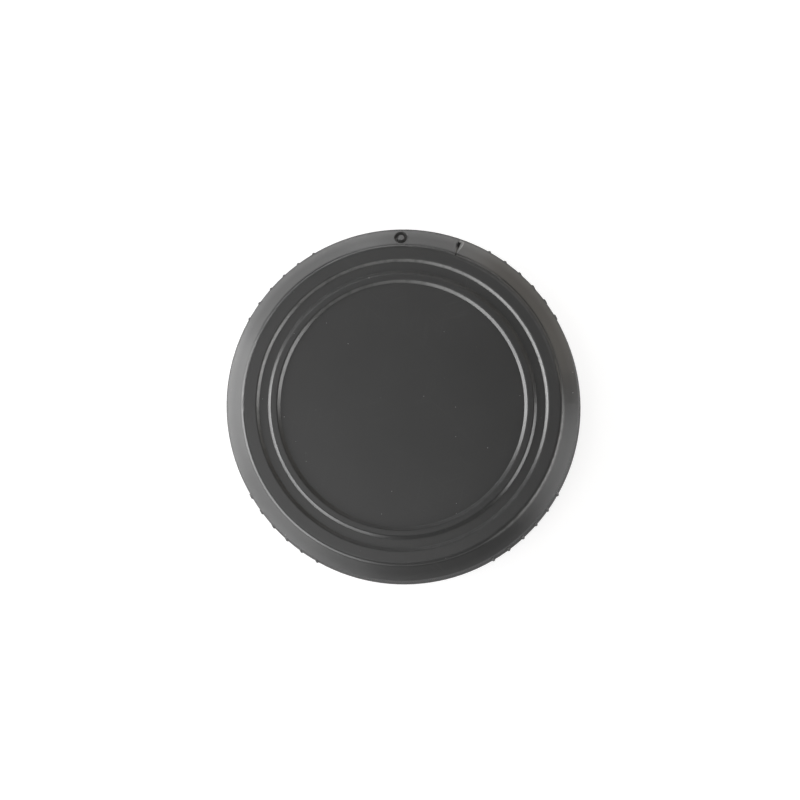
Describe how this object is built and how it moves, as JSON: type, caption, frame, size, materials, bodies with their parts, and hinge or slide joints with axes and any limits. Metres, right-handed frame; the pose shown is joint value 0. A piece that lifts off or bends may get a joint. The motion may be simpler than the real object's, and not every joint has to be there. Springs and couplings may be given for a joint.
{
  "type": "bayonet lens cap",
  "caption": "Round black moulded cap with a stepped face, bevelled edge, grip ribs on the wall, sunk index marks and bayonet lugs inside, for closing a large lens port.",
  "frame": {"origin": "middle of the rim's foot, on the surface that the cap rests on with its face up", "axes": "+Z along the cap's axis out of the face, +Y towards the ring mark on the bevel"},
  "size_m": [0.1112, 0.1112, 0.022],
  "materials": {
    "black_plastic": "satin, fine moulded grain"
  },
  "bodies": {
    "root": {"cap": "black_plastic"}
  },
  "joints": []
}
